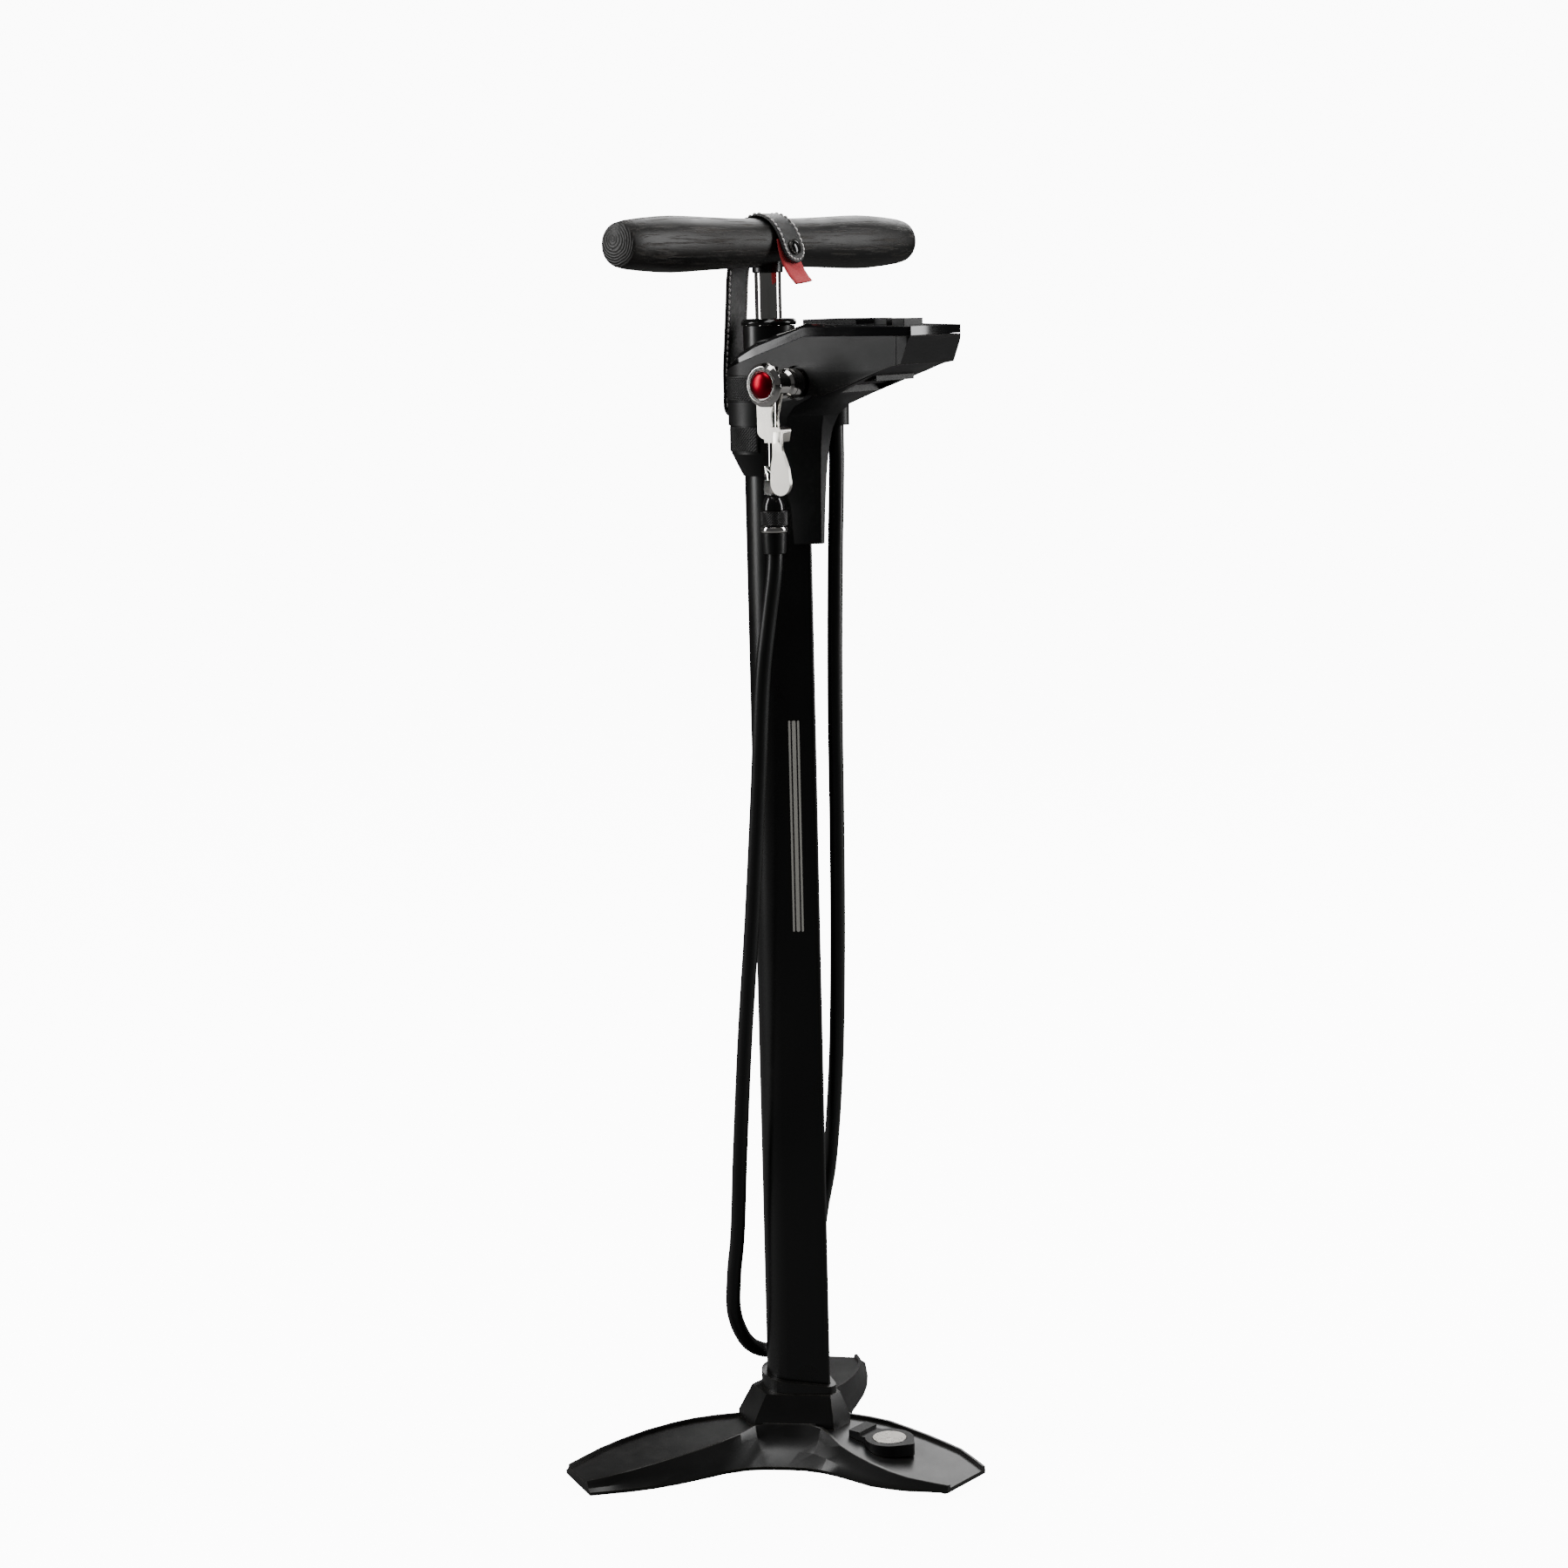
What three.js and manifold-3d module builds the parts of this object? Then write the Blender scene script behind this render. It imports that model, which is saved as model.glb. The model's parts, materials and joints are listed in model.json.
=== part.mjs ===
// Floor pump with a digital gauge head, millimetres, +Z up.
// Bore axis on the origin while building, gauge arm toward +X, handle bar along Y.
import * as THREE from 'three';
import { toCreasedNormals } from 'three/addons/utils/BufferGeometryUtils.js';
import Module from 'manifold-3d';

const wasm = await Module();
wasm.setup();
const { Manifold, CrossSection } = wasm;

// driving dimensions
const totalHeight = 740;      // floor to handle crown
const gap = 0.3;              // clearance between neighbours
const slideGap = 0.4;         // clearance of sliding and turning parts

const barrel = { nose: 16, tailX: 25.3, tailR: 2.2, bore: 13, z0: 12.6, z1: 648, port: 1.8, portX: 19 };
const base = {
  sideReach: 142, frontReach: 128, sideAngle: 117.5, floorZ: 0.8, lip: 2.2, lipWide: 2,
  hubTopZ: 39.5, hubLowZ: 24.4, collar: 3.5, noseTop: 50, tailTop: 44.5,
};
const pad = { long: 16, wide: 24, z1: 5.6, inset: 15 };
const dock = { s: 72, long: 20, wide: 14.6, deckZ: 13.4, z1: 20.6, magR: 10, magThick: 4 };
const sleeve = { r: 24.8, rLow: 23.2, z0: 606, z1: 655, coneZ: 593, coneR: 16.9 };
const band = { rIn: 23.4, rOut: 25.1, upper: [636.2, 651], lower: [607, 622] };
const arm = { x1: 118.4, x0: 112.4, half: 25.5, faceZ: 657.6, capX: 108.4, corner: 2.2, top: 681.6, cover: 8.2 };
const slope = { x0: 45, x1: 9, z1: 670.6, x2: -26, z2: 653.4 };
const display = { x0: 38, x1: 76, half: 17, frame: 3, raise: 0.9 };
const button = { xs: [87, 99], long: 8.4, half: 9, raise: 0.8, travel: 0.8 };
const battery = { x0: 66, x1: 90, half: 18, z0: 648, z1: 656 };
const tube = { r: 15, z0: 640.6, z1: 679, play: 0.65 };
const ring = { r: 15.85, z1: 683 };
const rod = { r: 7.75, z0: 60, stroke: 470 };
const piston = { z0: 42, z1: 58 };
const handle = { half: 130.5, endR: 12.4, bulgeR: 15.7, bulgeY: 86, waistR: 14, collarR: 8.9, collarDrop: 14 };
const strap = { wide: 20, thick: 2, y: 0, backX: -26.7 };
const snap = { r: 4.7, cap: 3.7 };
const tab = { wide: 17.8, thick: 1.2, y: -0.7 };
const chuck = { x: 38.5, z: 647.2, backY: -30.6, frontY: -53.4, r: 8.4, faceR: 12.4, capR: 7.4, stemY: -47.8 };
const hose = { r: 4.5, endX: 35.5, endY: 15.5, endZ: 626 };
const union = { r: 7.8, flangeR: 9.3, z0: 621.5, z1: 638, spigot: 4.2, spigotZ: 648 };

// materials
const mat = (color, roughness, metalness = 0) => new THREE.MeshStandardMaterial({ color, roughness, metalness });
const mats = {
  satin: mat(0x1b1b1c, 0.42, 0.6), plastic: mat(0x161616, 0.62), gloss: mat(0x0b0b0d, 0.12),
  rubber: mat(0x121212, 0.7), chrome: mat(0xd8d8d8, 0.12, 1), steel: mat(0xb9b7b2, 0.35, 1),
  wood: mat(0x17140f, 0.5), leather: mat(0x151312, 0.55), red: mat(0xb0142a, 0.3, 0.6),
  web: mat(0xb01822, 0.8), lcd: mat(0x6d7568, 0.3), board: mat(0x1c4d2c, 0.6), magnet: mat(0xc9c5bd, 0.3, 1),
};

// solid helpers
const cyl = (r, z0, z1, n = 48, rTop = r) => Manifold.cylinder(z1 - z0, r, rTop, n).translate([0, 0, z0]);
const box = (x0, x1, y0, y1, z0, z1) => Manifold.cube([x1 - x0, y1 - y0, z1 - z0]).translate([x0, y0, z0]);
const disc = (r, n = 48) => CrossSection.circle(r, n);
const prism = (section, z0, z1) => Manifold.extrude(section, z1 - z0).translate([0, 0, z0]);
const poly = (points) => new CrossSection([points], 'NonZero');
const turned = (profile, n = 48) => Manifold.revolve(poly(profile), n);
// outline in X and Z drawn across the width, from y0 to y1
const sideways = (points, y0, y1) => Manifold.extrude(poly(points), y1 - y0).rotate([90, 0, 0]).translate([0, y1, 0]);
const hullOf = (solids) => Manifold.hull(solids);
const sum = (solids) => Manifold.union(solids);

const rodHole = rod.r + tube.play;
const group = new THREE.Group();
group.name = 'floor_pump';
function put(name, solid, material) {
  const mesh = solid.getMesh();
  const positions = [];
  for (let i = 0; i < mesh.vertProperties.length; i += mesh.numProp) {
    positions.push(mesh.vertProperties[i], mesh.vertProperties[i + 1], mesh.vertProperties[i + 2]);
  }
  const geometry = new THREE.BufferGeometry();
  geometry.setAttribute('position', new THREE.Float32BufferAttribute(positions, 3));
  geometry.setIndex(Array.from(mesh.triVerts));
  const out = new THREE.Mesh(toCreasedNormals(geometry, 0.6), material);
  out.name = name;
  group.add(out);
}

// barrel: round nose on the bore axis, flat flanks running to a thin tail
function teardrop(grow = 0, n = 56) {
  const shape = CrossSection.hull([disc(barrel.nose, n), disc(barrel.tailR, 16).translate([barrel.tailX, 0])]);
  return grow ? shape.offset(grow, 'Round', 2, 64) : shape;
}
const barrelSolid = prism(teardrop(), barrel.z0, barrel.z1)
  .subtract(cyl(barrel.bore, barrel.z0 + 6, barrel.z1 + 1))
  .subtract(cyl(barrel.port, barrel.z0 - 1, barrel.z1 + 1, 16).translate([barrel.portX, 0, 0]));
put('barrel', barrelSolid, mats.satin);

// base: three leaf-shaped trays with flared skirts, faceted hub and slanted collar
// along a leg: distance, half width on the floor, half width and height of the crease, height of the lower edge
const sideStations = [
  [0, 52, 31, 23.6, 0.8], [12, 44.6, 23.6, 23.4, 0.8], [23.5, 37.4, 16.8, 23, 0.8], [32, 32, 13, 22.2, 0.8],
  [44, 27.6, 18.4, 21.2, 0.8],
  [58, 26.2, 22.4, 20.2, 0.8], [72, 27.4, 24.4, 18.8, 0.8], [88, 28.4, 24.9, 17, 0.8], [104, 28, 24, 14.8, 0.8],
  [118, 26, 22.1, 12.6, 0.8], [131, 23, 18.9, 10.2, 0.8], [142, 20.4, 15.4, 8.4, 0.8],
];
const frontStations = [
  [0, 52, 31, 23.6, 0.8], [12, 44.6, 23.6, 23.4, 0.8], [23.5, 37.4, 17, 23.2, 0.8], [32, 32.6, 15.4, 22.5, 0.8],
  [43, 29.6, 20.5, 21.4, 0.8],
  [54, 28.6, 25.4, 19.6, 0.8], [66, 29, 27.6, 17.4, 0.8], [80, 29.8, 29, 15.2, 1], [93, 29.6, 29.1, 13.4, 2.2],
  [105, 28.4, 28, 12.1, 3.4], [117, 24, 23.6, 10.7, 4.2], [128, 19.4, 19, 9.4, 4.6],
];
function legSection([, floor, crease, z, low]) {
  const flare = floor - crease;
  const rise = z - low - 2.6;
  const side = [
    [floor - 0.3, low], [floor, low + 2.2], [crease + flare * 0.44, low + 2.2 + rise * 0.3],
    [crease + flare * 0.14, low + 2.2 + rise * 0.66],
    [crease, z - 0.3], [crease - 0.3, z], [crease - base.lipWide, z], [crease - base.lipWide - 0.6, z - base.lip],
  ];
  return [...side, ...side.slice().reverse().map(([v, h]) => [-v, h])];
}
function leg(stations, angle, reach) {
  const positions = [];
  const triangles = [];
  const sections = stations.map((st) => legSection(st));
  const n = sections[0].length;
  const stretch = reach / stations[stations.length - 1][0];
  sections.forEach((section, i) => section.forEach(([v, z]) => positions.push(stations[i][0] * stretch, v, z)));
  for (let i = 0; i + 1 < sections.length; i += 1) {
    for (let j = 0; j < n; j += 1) {
      const a = i * n + j;
      const b = i * n + (j + 1) % n;
      triangles.push(a, a + n, b, b, a + n, b + n);
    }
  }
  const ends = THREE.ShapeUtils.triangulateShape(sections[0].map(([v, z]) => new THREE.Vector2(v, z)), []);
  const last = (sections.length - 1) * n;
  ends.forEach(([a, b, c]) => triangles.push(a, b, c));
  const tips = THREE.ShapeUtils.triangulateShape(sections[sections.length - 1].map(([v, z]) => new THREE.Vector2(v, z)), []);
  tips.forEach(([a, b, c]) => triangles.push(last + a, last + c, last + b));
  const make = (tri) => new Manifold(new wasm.Mesh({
    numProp: 3, vertProperties: new Float32Array(positions), triVerts: new Uint32Array(tri),
  }));
  let solid = make(triangles);
  if (solid.volume() < 0) {
    const flipped = [];
    for (let i = 0; i < triangles.length; i += 3) flipped.push(triangles[i], triangles[i + 2], triangles[i + 1]);
    solid = make(flipped);
  }
  return solid.rotate([0, 0, angle]);
}
const legs = [
  { name: 'front', stations: frontStations, reach: base.frontReach, angle: 0 },
  { name: 'left', stations: sideStations, reach: base.sideReach, angle: -base.sideAngle },
  { name: 'right', stations: sideStations, reach: base.sideReach, angle: base.sideAngle },
];
// outline bounded by a flat at each leg and a flat between each two legs
function hubRing(front, side, between, z) {
  const mid = base.sideAngle / 2;
  const flats = [[0, front], [mid, between], [base.sideAngle, side], [180, between], [-base.sideAngle, side], [-mid, between]];
  let shape = CrossSection.square([160, 160], true);
  flats.forEach(([angle, d]) => {
    shape = shape.intersect(CrossSection.square([200, 200], true).translate([d - 100, 0]).rotate(angle));
  });
  return prism(shape, z - 0.05, z + 0.05);
}
const hub = hullOf([hubRing(31.6, 23, 20.4, base.hubTopZ), hubRing(36.4, 31.5, 26, base.hubLowZ),
  hubRing(36.6, 31.8, 26, 14)]);
const slant = (base.noseTop - base.tailTop) / (barrel.nose + barrel.tailX + 2 * base.collar);
const collarTop = (x) => base.noseTop - slant * (x + barrel.nose + base.collar);
const collarCut = sideways([[-60, 0], [60, 0], [60, collarTop(60)], [-60, collarTop(-60)]], -40, 40);
const collar = prism(teardrop(base.collar), base.hubTopZ - 4, 60).intersect(collarCut);
const padAt = (l, grow, z0, z1) => {
  const s = l.reach - pad.inset;
  return box(s - pad.long / 2 - grow, s + pad.long / 2 + grow, -pad.wide / 2 - grow, pad.wide / 2 + grow, z0, z1)
    .rotate([0, 0, l.angle]);
};
let casting = sum([...legs.map((l) => leg(l.stations, l.angle, l.reach)), hub, collar]);
casting = casting.subtract(prism(teardrop(gap), barrel.z0 - gap, 80));
legs.forEach((l) => {
  casting = casting.subtract(padAt(l, gap, -1, pad.z1 + gap));
  put(`foot_pad_${l.name}`, padAt(l, 0, 0, pad.z1), mats.rubber);
});
// magnetic hose dock on the front leg
const dockShape = (grow) => {
  const arc = CrossSection.circle(dock.wide + grow, 40);
  const nib = CrossSection.circle(2 + grow, 12).translate([dock.long - 4, 0]);
  return CrossSection.hull([arc, nib]).translate([dock.s, 0]);
};
const dockBlock = (grow, z1) => box(dock.s - 24 - grow, dock.s - 8, -8.5 - grow, 8.5 + grow, dock.deckZ - grow, z1);
casting = casting.subtract(prism(dockShape(gap), dock.deckZ - gap, 40).add(dockBlock(gap, 40)));
put('base_casting', casting, mats.satin);
const dockBody = prism(dockShape(0), dock.deckZ, dock.z1)
  .add(dockBlock(0, dock.z1 + 2.2).subtract(box(dock.s - 16, dock.s, -20, 20, dock.z1, 40)))
  .subtract(cyl(dock.magR + gap, dock.z1 - dock.magThick - gap, dock.z1 + 5).translate([dock.s, 0, 0]));
put('dock_holder', dockBody, mats.plastic);
put('dock_magnet', cyl(dock.magR, dock.z1 - dock.magThick, dock.z1 + 0.2).translate([dock.s, 0, 0]), mats.magnet);

// head: sleeve round the barrel, gauge arm and the web below it
const plan = (grow = 0) => {
  const c = arm.corner;
  const corner = (y) => disc(c + grow, 16).translate([arm.x1 - c, y]);
  return CrossSection.hull([disc(sleeve.r + grow, 64), corner(arm.half - c), corner(c - arm.half)]);
};
const topAt = (x, drop = 0) => {
  const { x0, x1, z1, x2, z2 } = slope;
  if (x >= x0) return arm.top - drop;
  if (x >= x1) return arm.top - drop + (x - x0) * (arm.top - z1) / (x0 - x1);
  return z1 - drop + (x - x1) * (z1 - z2) / (x1 - x2);
};
const seam = arm.cover;
const topLine = (drop) => [arm.x1, slope.x0, slope.x1, slope.x2].map((x) => {
  const d = x === slope.x2 ? Math.min(drop, seam * 0.25 + (drop - seam)) : drop;
  return [x, topAt(x, d)];
});
const armBlock = prism(plan(), 600, 700).intersect(sideways([
  [-30, 640], [55, 640], [76, 646.4], [93, 652.4], [106, 656.6], [arm.x0, arm.faceZ],
  [arm.x1, topAt(arm.x1, seam + gap)], ...topLine(seam + gap).slice(1),
], -40, 40));
// web between the arm and the barrel, stacked slices:
// height, front edge and its half width, flank and its half width, back and its half width
const webSlices = [
  [554, 36.3, 1.5, 28, 5.6, 21, 7.4], [575, 37, 2, 28, 6.8, 20, 8.6], [595, 38, 2.8, 27, 9.4, 17, 12.6],
  [610, 39.3, 3.8, 25, 14.5, 12, 18.6], [620, 41, 5, 25, 18.4, 12, 22], [628, 44, 7, 29, 21.5, 12, 24],
  [634, 50, 10, 36, 23.5, 12, 25], [640, 62, 17, 50, 24.5, 12, 25.2], [646, 76, 23, 68, 25.2, 12, 25.4],
  [652, 93, 25, 86, 25.4, 12, 25.4], [656.4, 105, 25.4, 100, 25.4, 12, 25.4],
];
const webPiece = (a, b) => hullOf([a, b].map(([z, x, front, flank, middle, rear, back]) => prism(
  poly([[rear, -back], [flank, -middle], [x, -front], [x, front], [flank, middle], [rear, back]]), z - 0.01, z + 0.01)));
const web = sum(webSlices.slice(1).map((s, i) => webPiece(webSlices[i], s)));
let head = sum([
  armBlock, web, cyl(sleeve.r, 620, 652, 64), cyl(sleeve.rLow, sleeve.z0, 625, 64),
  cyl(sleeve.coneR, sleeve.coneZ, sleeve.z0 + 0.01, 64, sleeve.rLow),
]);
const ringCut = (z0, z1, grow) => cyl(60, z0 - grow, z1 + grow, 4).subtract(cyl(band.rIn - grow, z0 - 2, z1 + 2, 64));
const bandArc = (z0, z1, grow) => ringCut(z0, z1, grow).intersect(cyl(band.rOut + 2, z0 - 2, z1 + 2, 64))
  .intersect(box(-60, 8 + grow, -60, 60, z0 - 2, z1 + 2));
[band.upper, band.lower].forEach(([z0, z1], i) => {
  head = head.subtract(bandArc(z0, z1, gap));
  const shape = bandArc(z0, z1, 0).intersect(cyl(i ? band.rOut - 1.2 : band.rOut, z0 - 2, z1 + 2, 64));
  put(i ? 'grip_band_lower' : 'grip_band_upper', shape, mats.plastic);
});
head = head.subtract(prism(teardrop(gap), 500, barrel.z1 + gap))
  .subtract(cyl(tube.r + gap, barrel.z1 - 1, 720, 48));
// electronics bay, battery pocket, front cap joint and hose dock
const bay = { x0: 44, x1: 105, half: 20.5, z0: 661 };
head = head.subtract(box(bay.x0, bay.x1, -bay.half, bay.half, bay.z0, 700));
head = head.subtract(box(battery.x0 - gap, battery.x1 + gap, -battery.half - gap, battery.half + gap, 600, battery.z1 + gap));
const capBox = (x) => sideways([[x, 640], [140, 640], [140, 700], [x + 2, 700]], -40, 40);
const frontCap = head.intersect(capBox(arm.capX + 0.3));
head = head.subtract(capBox(arm.capX));
const seatR = chuck.r + 1.4;
const dockHole = cyl(seatR, 0, 8, 40).rotate([90, 0, 0]).translate([chuck.x, chuck.backY + 7.6, chuck.z]);
head = head.subtract(dockHole);
// slot holding the strap end, and the seat of the hose union
const strapSlot = box(-30, -19, -strap.wide / 2 - gap, strap.wide / 2 + gap, 625.6, 632);
head = head.subtract(strapSlot);
head = head.subtract(cyl(union.flangeR + gap, 540, union.z1 + gap, 40)
  .add(cyl(union.spigot + gap, 600, union.spigotZ + gap, 24)).translate([hose.endX, hose.endY, 0]));
put('head_body', head, mats.plastic);
put('head_front_cap', frontCap, mats.plastic);
put('battery_box', sideways([
  [battery.x0, battery.z1], [battery.x0, battery.z0 - 2.4], [battery.x0 + 4, battery.z0 - 2.4],
  [battery.x0 + 9, battery.z0 - 0.6], [battery.x1, battery.z0],
  [battery.x1, battery.z1],
], -battery.half, battery.half), mats.plastic);

// glossy cover: three runs of slab following the top line, chamfered round the edge
const slabRun = (xa, xb) => {
  const edge = 3.4;
  const crownPlan = plan(-edge).intersect(CrossSection.square([2 * (arm.x1 - 6), 200], true));
  const slab = hullOf([prism(plan(), 0, seam - edge), prism(crownPlan, seam - 0.01, seam)])
    .intersect(box(xa, xb, -60, 60, -1, 60));
  return slab.warp((v) => { v[2] += topAt(Math.min(Math.max(v[0], xa), xb), seam); });
};
const backWedge = sideways([[-60, 0], [slope.x1, 0], [slope.x1, topAt(slope.x1, seam)],
  [slope.x2, topAt(slope.x2, seam * 0.25)], [-60, topAt(slope.x2, seam * 0.25) - 17]], -60, 60);
let cover = sum([slabRun(slope.x0 - 0.01, 140), slabRun(slope.x1 - 0.01, slope.x0), slabRun(-60, slope.x1)])
  .subtract(backWedge)
  .subtract(cyl(tube.r + gap, 600, 720, 48));
cover = cover.subtract(box(bay.x0, bay.x1, -bay.half, bay.half, 660, arm.top - 2.4));
const frameBox = (grow, z0, z1) => box(display.x0 - grow, display.x1 + grow, -display.half - grow, display.half + grow, z0, z1);
cover = cover.subtract(frameBox(gap, 660, 700));
button.xs.forEach((x) => {
  cover = cover.subtract(box(x - button.long / 2 - slideGap, x + button.long / 2 + slideGap,
    -button.half - slideGap, button.half + slideGap, 670, 700));
});
put('gauge_cover', cover, mats.gloss);
const f = display.frame;
const frameTop = arm.top + display.raise;
put('display_frame', frameBox(0, arm.top - 4, frameTop).subtract(frameBox(-f, 600, 700))
  .subtract(frameBox(-f + 1.4, 600, arm.top - 1.6)), mats.gloss);
put('display_window', frameBox(-f - gap, arm.top - 1.2, arm.top + 0.4)
  .add(frameBox(-f + 1.1, arm.top - 2.6, arm.top - 1.9).add(frameBox(-f - gap, arm.top - 2, arm.top - 1))), mats.gloss);
put('display_panel', frameBox(-f - 0.5, arm.top - 5.2, arm.top - 2.9), mats.lcd);
put('gauge_board', box(bay.x0 + 1.5, bay.x1 - 1.5, -bay.half + 1.5, bay.half - 1.5, bay.z0 + gap, bay.z0 + 2), mats.board);
button.xs.forEach((x, i) => {
  put(i ? 'button_power' : 'button_mode', box(x - button.long / 2, x + button.long / 2, -button.half, button.half,
    arm.top - 4.6, arm.top + button.raise).add(box(x - button.long / 2 - 1, x + button.long / 2 + 1,
    -button.half - 1, button.half + 1, arm.top - 5.2, arm.top - 3.4)), mats.plastic);
});

// rod guide, cap ring, rod, piston
put('rod_guide', cyl(tube.r, barrel.z1 + gap, tube.z1).add(cyl(barrel.bore - gap, tube.z0, barrel.z1 + gap + 0.01))
  .subtract(cyl(rodHole, 600, 720)), mats.satin);
put('cap_ring', turned([[rodHole, tube.z1 + gap], [ring.r, tube.z1 + gap], [ring.r + 0.3, tube.z1 + 1.8],
  [ring.r - 0.5, ring.z1 - 0.6], [ring.r - 1.4, ring.z1], [rodHole, ring.z1]]), mats.gloss);
const crown = totalHeight - handle.waistR;
const collarZ = crown - handle.collarDrop;
put('piston_rod', cyl(rod.r, rod.z0, crown + 4), mats.chrome);
put('piston', cyl(barrel.bore - slideGap, piston.z0, piston.z1)
  .subtract(turned([[9.4, piston.z0 + 5], [20, piston.z0 + 5], [20, piston.z0 + 10], [9.4, piston.z0 + 10]]))
  .add(cyl(4, piston.z1 - 1, rod.z0 - gap, 24)), mats.steel);
put('piston_seal', turned([[9.7, piston.z0 + 5.3], [12.55, piston.z0 + 5.3], [12.75, piston.z0 + 7.5],
  [12.55, piston.z0 + 9.7], [9.7, piston.z0 + 9.7]]), mats.leather);
put('rod_collar', turned([[rod.r + gap, collarZ - 3], [handle.collarR - 0.5, collarZ - 3],
  [handle.collarR, collarZ - 2.4], [handle.collarR, collarZ + 4.4], [rod.r + gap, collarZ + 4.4]]),
mats.satin);

// turned wooden grip, profile along half its length
const h = handle;
const gripProfile = [
  [0, -h.half], [h.endR - 1.7, -h.half], [h.endR - 0.5, -h.half + 0.6], [h.endR, -h.half + 1.8],
  [h.endR + 1.1, -h.half + 8], [h.bulgeR - 1.1, -h.bulgeY - 24], [h.bulgeR - 0.25, -h.bulgeY - 10],
  [h.bulgeR, -h.bulgeY], [h.bulgeR - 0.2, -h.bulgeY + 13], [h.bulgeR - 0.75, -h.bulgeY + 28],
  [h.waistR + 0.35, -40], [h.waistR, -24],
];
const grip = turned([...gripProfile, ...gripProfile.slice().reverse().map(([r, y]) => [r, -y])], 48)
  .rotate([90, 0, 0]).translate([0, 0, crown]);
put('handle', grip.subtract(cyl(rod.r + gap, 600, crown + 4 + gap))
  .subtract(cyl(handle.collarR + gap, 600, collarZ + 4.4 + gap)), mats.wood);

// leather keeper strap: out of the slot, up the back, over the grip and down the front
const ribbon = (points, thick, y0, y1) => {
  const runs = points.slice(1).map((q, i) => CrossSection.hull([
    disc(thick / 2, 12).translate(points[i]), disc(thick / 2, 12).translate(q)]));
  return Manifold.extrude(CrossSection.union(runs), y1 - y0).rotate([90, 0, 0]).translate([0, y1, 0]);
};
const strapR = handle.waistR + gap + 0.5 + strap.thick / 2;
const strapPoints = [[-20.5, 627.5], [-24.2, 627.9], [-26.5, 631], [strap.backX, 641],
  [strap.backX, 653], [-25.3, 670], [-23.6, 691],
  [-strapR - 6.4, crown - 18], [-strapR - 3.8, crown - 7], [-strapR + 0.5, crown + 4]];
for (let a = 135; a >= 30; a -= 15) {
  const t = a * Math.PI / 180;
  strapPoints.push([strapR * Math.cos(t), crown + strapR * Math.sin(t)]);
}
strapPoints.push([strapR + 2.4, crown - 0.8], [strapR + 4.6, crown - 7.4], [strapR + 5.9, crown - 11.8]);
put('strap', ribbon(strapPoints, strap.thick, strap.y - strap.wide / 2, strap.y + strap.wide / 2), mats.leather);

// snap fastener on the front of the strap, leaning with it
const onStrap = (solid) => solid.rotate([0, 90, 0]).rotate([0, -18.4, 0])
  .translate([strapR + strap.thick / 2 + 3.2, strap.y, crown - 2.9]);
put('snap_ring', onStrap(cyl(snap.r, 0.4, 1.4, 28).subtract(cyl(snap.cap + gap, -1, 3, 28))), mats.chrome);
put('snap_cap', onStrap(turned([[0, 0.4], [snap.cap, 0.4], [snap.cap, 1.4], [snap.cap * 0.7, 2], [0, 2.3]], 28)), mats.gloss);
put('pull_tab', ribbon([[strapR - 0.7, crown + 1], [strapR - 0.1, crown - 3], [strapR + 1.2, crown - 8],
  [strapR + 3.6, crown - 13.2], [strapR + 7, crown - 18.4], [strapR + 11.2, crown - 22.8]], tab.thick, tab.y - tab.wide / 2, tab.y + tab.wide / 2), mats.web);

// hose union under the head
const unionAt = (solid) => solid.translate([hose.endX, hose.endY, 0]);
put('hose_union', unionAt(sum([cyl(union.spigot, union.z1 - 2, union.spigotZ, 24),
  cyl(union.flangeR, union.z1 - 3, union.z1, 36), cyl(union.r, union.z0, union.z1 - 1, 36)])
  .subtract(cyl(2, 600, 660, 16)).subtract(cyl(hose.r + gap, 600, hose.endZ + 0.3))), mats.plastic);

// chuck, docked on the side of the head with its axis along Y
const alongY = (solid) => solid.rotate([90, 0, 0]).translate([chuck.x, 0, chuck.z]);
const back = -chuck.backY;
const front = -chuck.frontY;
put('chuck_mouth', alongY(cyl(chuck.r, back - 6, back + 2.4, 40).subtract(cyl(4, back - 7, back + 4, 24))), mats.chrome);
put('chuck_body', alongY(turned([[0, back + 2.7], [8.2, back + 2.7], [8.2, back + 6], [6.8, back + 7.4], [6.8, front - 1],
  [0, front - 1]], 40)).add(box(chuck.x - 3, chuck.x + 3, chuck.stemY - 3, chuck.stemY + 3, chuck.z, chuck.z + 10))
  .add(cyl(3, 633, chuck.z, 28).translate([chuck.x, chuck.stemY, 0])), mats.chrome);
put('chuck_face', alongY(turned([[0, front - 0.7], [11.4, front - 0.7], [chuck.faceR, front + 0.3],
  [chuck.faceR, front + 1.2], [10.2, front + 3], [7.9, front + 3], [7.9, front + 1.2], [0, front + 1.2]], 56)), mats.chrome);
put('chuck_dome', alongY(turned([[0, front + 1.5], [chuck.capR, front + 1.5], [chuck.capR, front + 3.2],
  [chuck.capR * 0.9, front + 4.1], [chuck.capR * 0.68, front + 4.9], [chuck.capR * 0.36, front + 5.4],
  [0, front + 5.6]], 40)), mats.red);
const stemAt = (solid) => solid.translate([chuck.x, chuck.stemY, 0]);
put('chuck_stem', stemAt(cyl(2.75, 585.6, 632.7, 28)), mats.chrome);
put('stem_nut', stemAt(sum([cyl(5.2, 598, 602, 6), cyl(4.6, 594, 598.01, 28), cyl(5.6, 586, 594.01, 6)])
  .subtract(cyl(2.75 + gap, 580, 610, 28))), mats.chrome);
put('stem_boot', stemAt(turned([[0, 577], [6.4, 577], [6.2, 580], [5, 583.6], [3.6, 585.3], [0, 585.3]], 36)), mats.gloss);
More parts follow.
